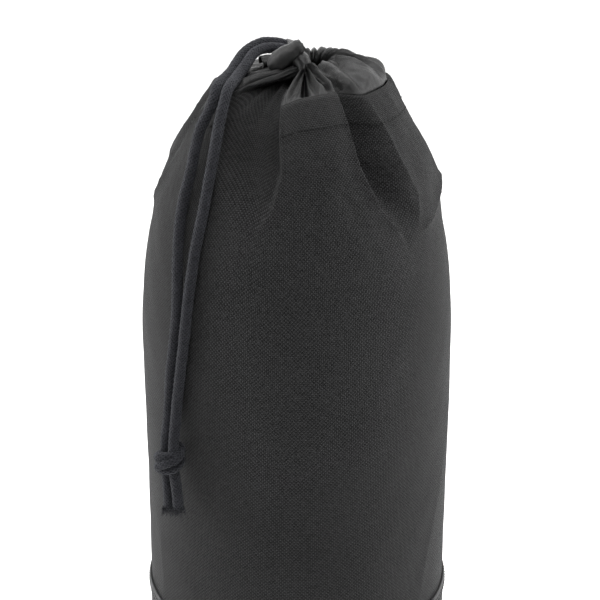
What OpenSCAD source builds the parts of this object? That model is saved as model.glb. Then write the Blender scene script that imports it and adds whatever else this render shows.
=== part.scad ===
// Rope storage bag: a round drawstring bag in ballistic weave with a reinforced base boot.
// Origin: centre of the base, on the surface that the bag stands on. +Z is up, the front faces -Y.

/* [Body] */
// Outside radius of the filled round body
body_r = 104.2; // [103.5:0.1:104.6]
// Thickness of the body fabric
wall_t = 1.8; // [1.2:0.1:2.4]
// Height where the body starts to draw in
shoulder_z = 300; // [290:1:302]
// Height over which the rounded shoulder would close completely
shoulder_h = 205; // [200:1:206]
// Height of the hemmed top edge
hem_z = 470; // [466:1:471]
// Depth of the turned-in hem
hem_depth = 18; // [12:1:24]

/* [Base] */
// Thickness of the outer base panel
base_t = 2.2; // [1.5:0.1:2.5]
// Thickness of the stiffening disc between the base layers
stiffener_t = 2.5; // [1.5:0.1:2.6]
// Thickness of the inner base lining
lining_t = 1; // [0.6:0.1:1.5]
// Radius of the rolled piping round the base edge
piping_r = 2.6; // [2:0.1:3]

/* [Boot] */
// Height of the reinforcing boot, top edge of its binding included
boot_h = 120; // [80:1:160]
// Thickness of the boot fabric
boot_t = 1.1; // [0.8:0.1:1.4]
// Height of the binding folded over the boot's top edge
binding_h = 8; // [6:0.5:12]
// Thickness of the binding
binding_t = 1.6; // [1.2:0.1:2]

/* [Drawcord] */
// Diameter of the braided drawcord
cord_d = 7.5; // [6.5:0.1:7.6]
// Radius of the gathered cord channel, at its middle
channel_r = 21; // [20.5:0.1:21.5]
// Radius of the channel's gathered tube
channel_tube_r = 7; // [6.6:0.1:7.1]
// Height of the middle of the channel
channel_z = 479; // [478:0.5:479]
// Number of gathers in the collar
collar_pleats = 14; // [10:1:18]

/* [Webbing] */
// Width of the webbing loops
webbing_w = 25; // [20:1:28]
// Thickness of the webbing
webbing_t = 1.8; // [1.2:0.1:2]
// Width of the seam tape down the back
seam_w = 12; // [8:1:16]

/* [Hidden] */
$fn = 96;

// Gap left between neighbouring pieces
gap = 0.1;
// Radius of a sewing thread
thread_r = 0.35;

// Base layers, from the ground up
stiffener_z = base_t + gap;
lining_z = stiffener_z + stiffener_t + gap;
floor_z = lining_z + lining_t;
base_r = body_r + gap + boot_t - 2 * piping_r - gap;
wall_z = 2 * piping_r + gap;
// Height where the shoulder turns into the gathered top
gathers_z = 385;

// Boot and its stitching
boot_in_r = body_r + gap;
binding_z = boot_h - binding_h;
boot_stitch_zs = [boot_h - 4, boot_h - 7];

// Hem and the flat part of the seam tape
hem_bottom_z = hem_z - hem_depth;
facing_t = 1.2;
seam_t = 0.9;
seam_top_z = hem_bottom_z - 4;

// Cord radius, and its sweep: sides round the cord and the two routes
cord_r = cord_d / 2;
cord_sides = 10;
// Where the pair of strands leaves the channel mouth, and how the mouth points
exit_point = [-9.5, 15, 490];
exit_heading = 188;
exit_rise = 17;
exit_roll = 16;
strand_spread = 3.9;
mouth_len = 13.5;
mouth_wall = 0.8;
mouth_clear = 0.4;

// Upper stretch of each strand: out of the mouth, over the gathers, to the shoulder
back_arch = [[2.6, 20.5, 487.2], [-9.7, 18.8, 491], [-15, 17, 492.3], [-22, 14.3, 492.6],
             [-28.3, 9.4, 490.9], [-33.6, 2.9, 487.8], [-37.8, -4.8, 483.6], [-41, -13.5, 479]];
front_arch = [[3.1, 13, 485.2], [-9.3, 11.2, 489], [-15.5, 8.8, 490], [-21, 5.4, 490.2],
              [-25.6, 0.7, 489.3], [-29.3, -5.7, 486.4], [-32.3, -12.9, 482.4], [-35.6, -20.9, 479]];
// Lower stretch of each strand, from the shoulder down the side of the body to the knot
back_drop = [[-42.4, -17.2, 477.7], [-45.4, -25, 476], [-47.6, -33.2, 474.9], [-49.5, -40.2, 472.6],
             [-50.8, -45.2, 466.4], [-55, -47.9, 457.6], [-60, -50.7, 447], [-65.2, -58.7, 423.4],
             [-69.2, -62.3, 408.5], [-71.8, -66, 393.7], [-73, -71.8, 373], [-74, -77.4, 341],
             [-77, -76.8, 316], [-79.5, -74.4, 298], [-81.5, -72.5, 272], [-83.6, -78.2, 252.7]];
front_drop = [[-36.9, -24.6, 477.8], [-38.6, -32, 476.3], [-40.4, -40, 475.3], [-42.2, -46.4, 472.8],
              [-44, -51.2, 466.4], [-46.7, -57, 455.8], [-49.4, -64.3, 440.4], [-52, -69.3, 427.2],
              [-55, -74, 411.7], [-57.6, -76.8, 399], [-61.4, -79.4, 382], [-65.5, -82, 357],
              [-69.5, -83, 325], [-73.3, -80.4, 297], [-76.3, -79, 272], [-78, -83.8, 252.7]];
// The two tails below the knot
back_tail = [[-83.4, -79.3, 234.1], [-82.6, -80.5, 221], [-82.8, -80.6, 208]];
front_tail = [[-77.9, -84.8, 234.1], [-76.4, -86.1, 222], [-75.8, -87, 211]];

// Knot: a barrel round both strands
knot_at = [-81, -81.5, 243];
knot_h = 16.4;
knot_r = 10.2;
knot_end_r = 8;

// Haul loop: hinge line under its tab, rest tilt away from the body, size of the loop
loop_neck_r = 1.9;
loop_belly_r = 8;
loop_len = 42;
haul_z = 372;
haul_y = 101.1;
haul_tilt = 17.5;
tab_h = 28;
tab_t = 1.8;
// Tie-in loop: hinge line above the anchor patch on the bag's floor
anchor_t = 1.6;
tie_y = 14;
tie_z = floor_z + anchor_t + 2.4;
tie_tilt = 9;

// Radius of the body's outer skin at a height
function skin_r(z) = z <= shoulder_z ? body_r
    : body_r * sqrt(1 - pow((z - shoulder_z) / shoulder_h, 2));
// Heights at which a band of skin needs points
function skin_zs(z0, z1) = z1 <= shoulder_z ? [z0, z1]
    : let (low = max(z0, shoulder_z), n = ceil((z1 - low) / 9))
      concat(z0 < shoulder_z ? [z0] : [], [for (i = [0:n]) low + (z1 - low) * i / n]);
// The same list from the last to the first
function backwards(list) = [for (i = [len(list) - 1:-1:0]) list[i]];

function unit(v) = v / norm(v);
// Direction of a route at one of its points
function heading(route, i) =
    unit(route[min(i + 1, len(route) - 1)] - route[max(i - 1, 0)]);
// A vector across the route, carried along it without twist
function across(route, i) = i == 0
    ? unit(cross(heading(route, 0), [0.3, 0.5, 0.8]))
    : let (t = heading(route, i), u = across(route, i - 1)) unit(u - (u * t) * t);

// A band of the body's skin between two heights, from one offset to another
module skin_band(z0, z1, inner, outer) {
    zs = skin_zs(z0, z1);
    polygon(concat([for (z = zs) [skin_r(z) + inner, z]],
                   [for (z = backwards(zs)) [skin_r(z) + outer, z]]));
}

// A strip of such a band, centred on the back of the bag
module back_strip(z0, z1, inner, outer, width, side = 0) {
    half = width / body_r * 90 / PI;
    turn = side / body_r * 180 / PI;
    rotate([0, 0, 90 + turn - half])
        rotate_extrude(angle = 2 * half)
            skin_band(z0, z1, inner, outer);
}

// A round cord of constant or tapering radius along a route
module cord(route, radii) {
    n = len(route);
    points = [for (i = [0:n - 1]) let (t = heading(route, i), u = across(route, i), v = cross(t, u))
        for (k = [0:cord_sides - 1]) let (a = 360 * k / cord_sides)
            route[i] + radii[i] * (cos(a) * u + sin(a) * v)];
    walls = [for (i = [0:n - 2], k = [0:cord_sides - 1])
        let (a = i * cord_sides + k, b = i * cord_sides + (k + 1) % cord_sides)
        for (f = [[a, b + cord_sides, b], [a, a + cord_sides, b + cord_sides]]) f];
    start = [for (k = [0:cord_sides - 1]) k];
    end = [for (k = [cord_sides - 1:-1:0]) (n - 1) * cord_sides + k];
    polyhedron(points, concat([start], walls, [end]));
}

// A route that runs on past its last point in a rounded nose
function nosed(route) = let (last = len(route) - 1, t = heading(route, last))
    concat(route, [for (f = [0.5, 0.85, 0.98]) route[last] + f * cord_r * t]);
function nosed_radii(route) =
    concat([for (p = route) cord_r], [for (f = [0.5, 0.85, 0.98]) cord_r * sqrt(1 - f * f)]);

// Places children at the channel mouth, with +X out of it and +Y across the pair of strands
module at_mouth() {
    translate(exit_point) rotate([0, 0, exit_heading]) rotate([0, -exit_rise, 0])
        rotate([-exit_roll, 0, 0]) children();
}

// A flat-sided tube that holds both strands, along +X and ending at the mouth
module pair_tube(r, length) {
    translate([-length, 0, 0]) rotate([90, 0, 90]) linear_extrude(length)
        union() {
            for (s = [-1, 1]) translate([s * strand_spread, 0]) circle(r);
            square([2 * strand_spread, 2 * r], center = true);
        }
}

// A folded webbing loop: neck at the origin, belly below it, width along X
module webbing_loop() {
    rotate([90, 0, 90]) translate([0, 0, -webbing_w / 2]) linear_extrude(webbing_w)
        difference() {
            hull() {
                circle(loop_neck_r, $fn = 32);
                translate([0, -loop_len]) circle(loop_belly_r, $fn = 32);
            }
            hull() {
                translate([0, -4 * loop_neck_r]) circle(0.5, $fn = 16);
                translate([0, -loop_len]) circle(loop_belly_r - webbing_t, $fn = 32);
            }
        }
}

module base_panel() {
    color("#26282b") cylinder(r = base_r, h = base_t);
}

module base_piping() {
    color("#1d1e20") rotate_extrude()
        translate([base_r + gap + piping_r, piping_r]) circle(piping_r);
}

module base_stiffener() {
    color("#3a3a3a") translate([0, 0, stiffener_z]) cylinder(r = base_r - 0.3, h = stiffener_t);
}

module base_lining() {
    color("#2c2e31") translate([0, 0, lining_z]) cylinder(r = base_r - 0.3, h = lining_t);
}

// Patch that the tie-in loop is sewn to, on the bag's floor
module tie_in_anchor() {
    color("#1f2022") translate([-20, -32, floor_z]) cube([40, 64, anchor_t]);
}

// Loop that the lower end of the rope is tied to, lying on the floor
module tie_in_loop() {
    color("#17181a") translate([0, tie_y, tie_z]) rotate([-90 - tie_tilt, 0, 0])
        webbing_loop();
}

// Straight lower stretch of the body's one tube of cloth
module body() {
    color("#1c1d1f") rotate_extrude() skin_band(wall_z, shoulder_z, -wall_t, 0);
}

// Rounded shoulder of the same tube
module shoulder() {
    color("#1c1d1f") rotate_extrude() skin_band(shoulder_z + gap, gathers_z, -wall_t, 0);
}

// Gathered top stretch of the same tube, up to the hem
module gathers() {
    color("#1c1d1f") rotate_extrude() skin_band(gathers_z + gap, hem_z, -wall_t, 0);
}

module back_seam() {
    color("#151617") back_strip(boot_h + gap, seam_top_z, gap, seam_t, seam_w);
}

module seam_stitching() {
    color("#0e0e0f") for (s = [-1, 1])
        back_strip(boot_h + 4, seam_top_z - 2, seam_t + 0.02, seam_t + thread_r, 2 * thread_r,
                   s * (seam_w / 2 - 2));
}

// Reinforcing sleeve round the lower body
module boot() {
    color("#222426") rotate_extrude() translate([boot_in_r, wall_z])
        square([boot_t, binding_z - gap - wall_z]);
}

module boot_binding() {
    color("#1a1b1c") rotate_extrude() translate([boot_in_r, binding_z])
        square([binding_t, binding_h]);
}

module boot_stitching() {
    color("#0e0e0f") for (z = boot_stitch_zs) rotate_extrude()
        translate([boot_in_r + binding_t + thread_r, z]) circle(thread_r, $fn = 16);
}

// Turned-in layer behind the hemmed top edge
module hem_facing() {
    color("#191a1b") rotate_extrude()
        skin_band(hem_bottom_z, hem_z, -wall_t - facing_t, -wall_t - gap);
}

module hem_stitching() {
    color("#0e0e0f") rotate_extrude()
        translate([skin_r(hem_bottom_z + 2) + 2 * thread_r, hem_bottom_z + 2])
            circle(thread_r, $fn = 16);
}

// Slick collar gathered from the hem in to the cord channel: rings of radius, height and pleat depth
module collar() {
    top = [[57, 458, 0], [54.6, 466.4, 0], [49, 468.2, 1.4], [42, 468.8, 2], [35, 470.4, 1.8],
           [28.8, 473.4, 0.6]];
    thick = 0.8;
    section = concat(top, [for (p = backwards(top)) [p[0] - 0.3 * thick, p[1] - thick, p[2]]]);
    sides = collar_pleats * 6;
    rings = len(section);
    points = [for (p = section, k = [0:sides - 1]) let (a = 360 * k / sides)
        [p[0] * cos(a), p[0] * sin(a), p[1] + p[2] * cos(collar_pleats * a)]];
    faces = [for (i = [0:rings - 1], k = [0:sides - 1])
        let (a = i * sides + k, b = i * sides + (k + 1) % sides,
             c = (i + 1) % rings * sides + k, d = (i + 1) % rings * sides + (k + 1) % sides)
        for (f = [[a, b, d], [a, d, c]]) f];
    color("#2a2c30") polyhedron(points, faces);
}

// Gathered tunnel for the cord, with a notch for the mouth piece
module drawcord_channel() {
    color("#2e3034") difference() {
        rotate_extrude() translate([channel_r, channel_z]) difference() {
            circle(channel_tube_r);
            circle(channel_tube_r - 1.2);
        }
        at_mouth() pair_tube(cord_r + mouth_clear + mouth_wall + gap, mouth_len + 0.3);
    }
}

// Loose rolled end of the channel that lies over the gathers
module channel_flap() {
    flap_r = 6.5;
    flap_from = [-17, -15, 484.5];
    flap_run = [18, 0, 11];
    tilt = atan2(flap_run[0], flap_run[2]);
    color("#3a3c41") difference() {
        translate(flap_from) rotate([0, tilt, 0]) difference() {
            cylinder(r = flap_r, h = norm(flap_run));
            translate([0, 0, -1]) cylinder(r = flap_r - 1.2, h = norm(flap_run) + 2);
        }
        rotate_extrude() translate([channel_r, channel_z]) circle(channel_tube_r + gap);
    }
}

// Mouth of the channel: a sewn sleeve that both strands come out of
module channel_mouth() {
    color("#242629") at_mouth() difference() {
        pair_tube(cord_r + mouth_clear + mouth_wall, mouth_len);
        translate([1, 0, 0]) pair_tube(cord_r + mouth_clear, mouth_len + 2);
    }
}

// The stretch of drawcord that runs round inside the channel
module channel_cord() {
    color("#101114") rotate([0, 0, 140]) rotate_extrude(angle = 260)
        translate([channel_r, channel_z]) circle(cord_r, $fn = 32);
}

module arch_strands() {
    color("#14151a") for (route = [back_arch, front_arch]) cord(nosed(route), nosed_radii(route));
}

module hanging_strands() {
    color("#14151a") for (route = [back_drop, front_drop]) cord(route, [for (p = route) cord_r]);
}

module drawcord_knot() {
    color("#14151a") translate(knot_at) rotate_extrude()
        polygon([[0, -knot_h / 2], [knot_end_r, -knot_h / 2], [knot_r - 0.5, -knot_h / 4],
                 [knot_r, 0], [knot_r - 0.5, knot_h / 4], [knot_end_r, knot_h / 2], [0, knot_h / 2]]);
}

module cord_tails() {
    color("#14151a") for (route = [back_tail, front_tail]) cord(nosed(route), nosed_radii(route));
}

// Patch that holds the haul loop on the back seam
module haul_tab() {
    color("#17181a") back_strip(haul_z + loop_neck_r + 0.5, haul_z + tab_h, seam_t + 2 * thread_r + gap,
                                seam_t + 2 * thread_r + tab_t, webbing_w);
}

module haul_stitching() {
    face = seam_t + 2 * thread_r + tab_t + 0.02;
    color("#0e0e0f") for (z = [haul_z + 5, haul_z + tab_h - 5])
        back_strip(z, z + 2, face, face + thread_r, webbing_w - 4);
}

module haul_loop() {
    color("#17181a") translate([0, haul_y, haul_z]) rotate([haul_tilt, 0, 0]) webbing_loop();
}

base_panel();
base_piping();
base_stiffener();
base_lining();
tie_in_anchor();
tie_in_loop();
body();
shoulder();
gathers();
back_seam();
seam_stitching();
boot();
boot_binding();
boot_stitching();
hem_facing();
hem_stitching();
collar();
drawcord_channel();
channel_flap();
channel_mouth();
channel_cord();
arch_strands();
hanging_strands();
drawcord_knot();
cord_tails();
haul_tab();
haul_stitching();
haul_loop();
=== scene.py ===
"""Rope storage bag: its looks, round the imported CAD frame. Lengths are in millimetres until a mesh is made."""

import math

import bmesh
import bpy
import numpy as np
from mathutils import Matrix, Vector


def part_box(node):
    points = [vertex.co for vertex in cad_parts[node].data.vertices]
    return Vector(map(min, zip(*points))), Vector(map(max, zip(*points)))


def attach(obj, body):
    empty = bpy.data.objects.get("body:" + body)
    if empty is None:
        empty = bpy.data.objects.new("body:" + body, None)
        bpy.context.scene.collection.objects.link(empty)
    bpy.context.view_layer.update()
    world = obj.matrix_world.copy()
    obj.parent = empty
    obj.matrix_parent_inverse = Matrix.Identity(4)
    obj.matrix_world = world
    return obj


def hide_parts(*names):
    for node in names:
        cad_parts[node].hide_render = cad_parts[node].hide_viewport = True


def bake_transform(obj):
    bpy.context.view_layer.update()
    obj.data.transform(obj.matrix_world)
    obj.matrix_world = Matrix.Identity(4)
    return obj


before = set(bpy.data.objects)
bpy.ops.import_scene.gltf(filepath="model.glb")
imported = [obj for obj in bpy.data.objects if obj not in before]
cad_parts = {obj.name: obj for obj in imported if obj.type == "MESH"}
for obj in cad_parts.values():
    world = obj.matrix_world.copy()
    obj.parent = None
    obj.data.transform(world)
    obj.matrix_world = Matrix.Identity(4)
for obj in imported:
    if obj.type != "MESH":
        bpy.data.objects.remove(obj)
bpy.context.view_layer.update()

MM = 0.001
RANDOM = np.random.default_rng(11)

# ---- sizes taken from the frame


def box_mm(node):
    """Lowest and highest corner of a CAD node, in millimetres."""
    low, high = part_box(node)
    return np.array(low) / MM, np.array(high) / MM


BODY_R = box_mm("body")[1][0]
HEM_Z = box_mm("gathers")[1][2]
BINDING_LOW, BINDING_HIGH = box_mm("boot_binding")
BOOT_LOW, BOOT_HIGH = box_mm("boot")
PIPING_HIGH = box_mm("base_piping")[1]

SHOULDER_Z = 300.0
SHOULDER_H = 205.0
CORD_D = 7.5
CORD_R = CORD_D / 2
HEM_DEPTH = 18.0

# Routes of the two strands, repeated from the CAD source
BACK_ARCH = [[2.6, 20.5, 487.2], [-9.7, 18.8, 491], [-15, 17, 492.3], [-22, 14.3, 492.6],
             [-28.3, 9.4, 490.9], [-33.6, 2.9, 487.8], [-37.8, -4.8, 483.6], [-41, -13.5, 479]]
FRONT_ARCH = [[3.1, 13, 485.2], [-9.3, 11.2, 489], [-15.5, 8.8, 490], [-21, 5.4, 490.2],
              [-25.6, 0.7, 489.3], [-29.3, -5.7, 486.4], [-32.3, -12.9, 482.4], [-35.6, -20.9, 479]]
BACK_DROP = [[-45.4, -25, 476], [-47.6, -33.2, 474.9], [-49.5, -40.2, 472.6],
             [-50.8, -45.2, 466.4], [-55, -47.9, 457.6], [-60, -50.7, 447], [-65.2, -58.7, 423.4],
             [-69.2, -62.3, 408.5], [-71.8, -66, 393.7], [-73, -71.8, 373], [-74, -77.4, 341],
             [-77, -76.8, 316], [-79.5, -74.4, 298], [-81.5, -72.5, 272], [-83.6, -78.2, 252.7]]
FRONT_DROP = [[-38.6, -32, 476.3], [-40.4, -40, 475.3], [-42.2, -46.4, 472.8],
              [-44, -51.2, 466.4], [-46.7, -57, 455.8], [-49.4, -64.3, 440.4], [-52, -69.3, 427.2],
              [-55, -74, 411.7], [-57.6, -76.8, 399], [-61.4, -79.4, 382], [-65.5, -82, 357],
              [-69.5, -83, 325], [-73.3, -80.4, 297], [-76.3, -79, 272], [-78, -83.8, 252.7]]
BACK_TAIL = [[-83.4, -79.3, 234.1], [-82.6, -80.5, 221], [-82.8, -80.6, 208]]
FRONT_TAIL = [[-77.9, -84.8, 234.1], [-76.4, -86.1, 222], [-75.8, -87, 211]]
KNOT_AT = np.array([-81, -81.5, 243.0])

# ---- camera

CAMERA_AT = (0, -835, 621)
CAMERA_PITCH = 18
scene = bpy.context.scene
camera_data = bpy.data.cameras.new("camera")
camera_data.lens = 78.7
camera_data.sensor_width = 36
camera_data.shift_x = 0.005
camera_data.shift_y = -0.067
camera_data.clip_start = 0.05
camera = bpy.data.objects.new("camera", camera_data)
camera.location = Vector(CAMERA_AT) * MM
camera.rotation_euler = (math.radians(90 - CAMERA_PITCH), 0, 0)
scene.collection.objects.link(camera)
scene.camera = camera
scene.view_settings.view_transform = "Standard"

# ---- node helpers


class Nodes:
    """A short way to write the node tree of a material or of the world."""

    def __init__(self, name, owner=None):
        self.owner = owner or bpy.data.materials.new(name)
        self.owner.use_nodes = True
        self.tree = self.owner.node_tree
        self.tree.nodes.clear()

    def add(self, kind, **values):
        node = self.tree.nodes.new(kind)
        for key, value in values.items():
            setattr(node, key, value)
        return node

    def put(self, socket, value):
        if isinstance(value, bpy.types.NodeSocket):
            self.tree.links.new(value, socket)
        elif value is not None:
            socket.default_value = value

    def math(self, operation, a, b=None, c=None):
        node = self.add("ShaderNodeMath", operation=operation)
        for socket, value in zip(node.inputs, (a, b, c)):
            self.put(socket, value)
        return node.outputs[0]

    def mul(self, a, b):
        return self.math("MULTIPLY", a, b)

    def mul_add(self, a, b, c):
        return self.math("MULTIPLY_ADD", a, b, c)

    def wave(self, value, length):
        """A sine wave that repeats every length."""
        return self.math("SINE", self.mul(value, 2 * math.pi / length))

    def spread(self, value, size, base):
        """size times how far a noise of mean 0.5 is from its mean, added to base."""
        return self.mul_add(self.math("SUBTRACT", value, 0.5), size, base)

    def choose(self, factor, a, b):
        node = self.add("ShaderNodeMix", data_type="FLOAT")
        for socket, value in ((0, factor), (2, a), (3, b)):
            self.put(node.inputs[socket], value)
        return node.outputs[0]

    def mix(self, factor, a, b):
        node = self.add("ShaderNodeMix", data_type="RGBA")
        for socket, value in ((0, factor), (6, a), (7, b)):
            self.put(node.inputs[socket], value)
        return node.outputs[2]

    def ramp(self, value, low, high, out_low=0.0, out_high=1.0):
        node = self.add("ShaderNodeMapRange", interpolation_type="SMOOTHSTEP")
        for key, number in (("From Min", low), ("From Max", high), ("To Min", out_low), ("To Max", out_high)):
            node.inputs[key].default_value = number
        self.put(node.inputs["Value"], value)
        return node.outputs[0]

    def noise(self, vector, scale, detail=2.0, roughness=0.5):
        node = self.add("ShaderNodeTexNoise")
        self.put(node.inputs["Vector"], vector)
        node.inputs["Scale"].default_value = scale
        node.inputs["Detail"].default_value = detail
        node.inputs["Roughness"].default_value = roughness
        return node.outputs["Fac"]

    def bump(self, height, distance, strength=1.0, normal=None):
        node = self.add("ShaderNodeBump")
        node.inputs["Strength"].default_value = strength
        node.inputs["Distance"].default_value = distance
        self.put(node.inputs["Height"], height)
        self.put(node.inputs["Normal"], normal)
        return node.outputs[0]

    def uv(self):
        """U and V of the piece's cloth map, which counts millimetres along the two threads."""
        node = self.add("ShaderNodeUVMap", uv_map="cloth")
        split = self.add("ShaderNodeSeparateXYZ")
        self.put(split.inputs[0], node.outputs[0])
        return split.outputs[0], split.outputs[1], node.outputs[0]

    def place(self):
        return self.add("ShaderNodeTexCoord").outputs["Object"]

    def finish(self, color, roughness, normal=None, sheen=0.0, sheen_roughness=0.4, sheen_tint=(1, 1, 1),
               specular=0.5):
        shader = self.add("ShaderNodeBsdfPrincipled")
        for key, value in (("Base Color", color), ("Roughness", roughness), ("Normal", normal),
                           ("Sheen Weight", sheen), ("Sheen Roughness", sheen_roughness),
                           ("Sheen Tint", (*sheen_tint, 1)), ("Specular IOR Level", specular)):
            self.put(shader.inputs[key], value)
        out = self.add("ShaderNodeOutputMaterial")
        self.tree.links.new(shader.outputs[0], out.inputs[0])
        return self.owner


def grey(value, blue=1.0):
    return (value, value, value * blue, 1)


# ---- materials


def plain_weave(name, thread, dark, light, depth, roughness, sheen, specular):
    """Plain weave of thick yarns: over-and-under cells; the two thread directions a little apart in tone as a
    painted reflection, and painted shade in the dips between the yarns.
    """
    n = Nodes(name)
    u, v, uv = n.uv()
    a, b = n.wave(u, 2 * thread), n.wave(v, 2 * thread)
    over = n.math("GREATER_THAN", n.mul(a, b), 0.0)
    across_u, across_v = (n.math("POWER", n.math("ABSOLUTE", x), 0.6) for x in (a, b))
    high_u = n.mul(across_u, n.mul_add(across_v, 0.5, 0.5))
    high_v = n.mul(across_v, n.mul_add(across_u, 0.5, 0.5))
    height = n.choose(over, high_v, high_u)
    # fine filaments along each yarn
    hairs = n.choose(over, n.wave(v, thread / 7), n.wave(u, thread / 7))
    patches = n.noise(n.place(), 14.0, 4.0, 0.6)
    slubs = n.noise(uv, 0.35)
    # painted light: the thread on top is lighter, a painted reflection that sets the two thread directions apart,
    # and the yarn crowns are lighter, a painted shade in the dips between them; slubs and patches add random tone
    painted_light_and_tone = n.mul_add(over, 0.42, n.mul_add(height, 0.75, -0.28))
    painted_light_and_tone = n.spread(patches, 0.5, n.spread(slubs, 0.8, painted_light_and_tone))
    color = n.mix(n.ramp(painted_light_and_tone, 0.0, 1.0), dark, light)
    rough = n.mul_add(slubs, 0.15, roughness - 0.05)
    normal = n.bump(n.mul_add(hairs, 0.04, height), depth)
    return n.finish(color, rough, normal, sheen, 0.45, specular=specular)


def ribbed(name, pitch, dark, light, depth, roughness, sheen, slant=0.0):
    """Ribbed tape or webbing: ribs across V with a fine chevron along them."""
    n = Nodes(name)
    u, v, uv = n.uv()
    zig = n.math("PINGPONG", u, pitch * 2)
    ribs = n.wave(n.mul_add(zig, slant, v), pitch)
    cross = n.wave(u, pitch * 0.8)
    height = n.mul_add(cross, 0.25, n.mul_add(ribs, 0.5, 0.5))
    # painted shade: the rib crowns are lighter and the grooves between them darker; the noise adds random tone
    painted_light_and_tone = n.spread(n.noise(uv, 0.8, 3.0), 0.8, n.mul(height, 0.8))
    color = n.mix(n.ramp(painted_light_and_tone, 0.0, 1.0), dark, light)
    return n.finish(color, roughness, n.bump(height, depth), sheen)


def slick(name, dark, light, roughness):
    """Thin, tightly woven glossy nylon: small ripples, fine grain and a sharp sheen."""
    n = Nodes(name)
    u, v, _ = n.uv()
    grain = n.mul(n.wave(u, 0.6), n.wave(v, 0.6))
    crinkle = n.noise(n.place(), 160.0, 3.0, 0.55)
    broad = n.noise(n.place(), 55.0)
    height = n.math("ADD", n.mul(crinkle, 0.35), n.mul(broad, 0.8))
    height = n.mul_add(grain, 0.05, height)
    # painted shade: the colour follows the crinkle ripples, lighter on their crests and darker in their dips
    color = n.mix(crinkle, dark, light)
    rough = n.mul_add(broad, 0.16, roughness - 0.06)
    return n.finish(color, rough, n.bump(height, 0.0014, 0.85), specular=0.34)


def braid(name, dark, light, pitch):
    """Soft spun braid: crossing strands and a brushed, fuzzy surface."""
    n = Nodes(name)
    u, v, _ = n.uv()
    crossing = n.math("MAXIMUM", n.wave(n.math("ADD", u, v), pitch), n.wave(n.math("SUBTRACT", u, v), pitch))
    fuzz = n.noise(n.place(), 900.0, 3.0, 0.7)
    clumps = n.noise(n.place(), 220.0, 2.0, 0.6)
    both = n.math("ADD", fuzz, clumps)
    height = n.math("ADD", n.mul(crossing, 0.35), both)
    # painted shade: the colour follows the bump height, lighter on the strand crossings, fuzz and clumps and
    # darker between them
    painted_light_and_tone = n.mul_add(crossing, 0.2, n.mul(both, 0.45))
    color = n.mix(n.ramp(painted_light_and_tone, 0.1, 0.85), dark, light)
    return n.finish(color, 0.85, n.bump(height, 0.0008), 0.08, 0.5, (0.9, 0.93, 1.0), 0.15)


def thread_material(name, dark, light):
    n = Nodes(name)
    twist = n.noise(n.place(), 1500.0)
    color = n.mix(twist, dark, light)
    return n.finish(color, 0.7, n.bump(twist, 0.0002), sheen=0.02, specular=0.2)


def board(name, dark, light):
    n = Nodes(name)
    grain = n.noise(n.place(), 400.0, 4.0, 0.6)
    return n.finish(n.mix(grain, dark, light), 0.6, n.bump(grain, 0.0002))


def coated(name, dark, light):
    """Coated cloth seen from the coated side: fine grid print-through, scuffs and soft gloss."""
    n = Nodes(name)
    spot = n.add("ShaderNodeSeparateXYZ")
    n.put(spot.inputs[0], n.place())
    grid = n.mul(n.wave(spot.outputs[0], 0.0016), n.wave(spot.outputs[1], 0.0016))
    scuffs = n.noise(n.place(), 60.0, 5.0, 0.7)
    color = n.mix(n.ramp(scuffs, 0.35, 0.75), dark, light)
    return n.finish(color, n.mul_add(scuffs, 0.3, 0.35), n.bump(n.mul_add(grid, 0.4, scuffs), 0.0003))


THREAD = 1.22
BALLISTIC = plain_weave("ballistic_weave", THREAD, grey(0.0006, 1.03), grey(0.036, 1.02), 0.0008, 0.6, 0.03,
                        0.11)
BOOT_WEAVE = plain_weave("boot_weave", 1.3, grey(0.001, 1.02), grey(0.03, 1.04), 0.0006, 0.55, 0.04, 0.15)
TAPE = ribbed("binding_tape", 1.1, grey(0.003), grey(0.03, 1.03), 0.0004, 0.6, 0.08)
WEBBING = ribbed("webbing", 1.6, grey(0.003), grey(0.022, 1.03), 0.0005, 0.55, 0.06, slant=0.6)
SLICK = slick("slick_nylon", grey(0.0006, 1.05), grey(0.003, 1.05), 0.31)
BRAID = braid("drawcord", (0.0015, 0.0016, 0.0022, 1), (0.022, 0.0225, 0.027, 1), 2.4)
THREAD_BLACK = thread_material("sewing_thread", grey(0.002), grey(0.012))
BOARD = board("stiffener_board", grey(0.02), grey(0.035))
BASE_CLOTH = coated("coated_base", grey(0.006), grey(0.02))
LINING = coated("inner_lining", grey(0.02), grey(0.035))

# ---- mesh helpers


def new_mesh(name, points, faces):
    mesh = bpy.data.meshes.new(name)
    mesh.from_pydata((np.array(points) * MM).tolist(), [], faces)
    return mesh


def unit(rows):
    """Each row at length 1."""
    return rows / np.linalg.norm(rows, axis=1)[:, None]


def thread_map(u, v):
    """A cloth map from the millimetres of each column and of each row."""
    return np.stack(np.broadcast_arrays(u[None, :], v[:, None]), -1)


def smooth_faces(mesh):
    mesh.polygons.foreach_set("use_smooth", [True] * len(mesh.polygons))


def link(name, mesh, material):
    piece = bpy.data.objects.new(name, mesh)
    scene.collection.objects.link(piece)
    mesh.materials.append(material)
    smooth_faces(mesh)
    return piece


def settle(piece, *nodes, body="bag"):
    """Hides the CAD nodes that a piece stands for, and hangs the piece on the body that it rides on."""
    if nodes:
        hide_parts(*nodes)
    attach(piece, body)
    return piece


def sum_up(steps):
    """Running total of the steps, from 0."""
    return np.concatenate([[0], np.cumsum(steps)])


def run_along(points):
    """How far along a line each of its points is."""
    return sum_up(np.linalg.norm(np.diff(points, axis=0), axis=1))


def round_axis(azimuth, r, z):
    """Points at azimuths in degrees, radii and heights round the bag's axis."""
    s = np.radians(azimuth)
    return np.stack(np.broadcast_arrays(r * np.sin(s), -r * np.cos(s), z), -1)


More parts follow.
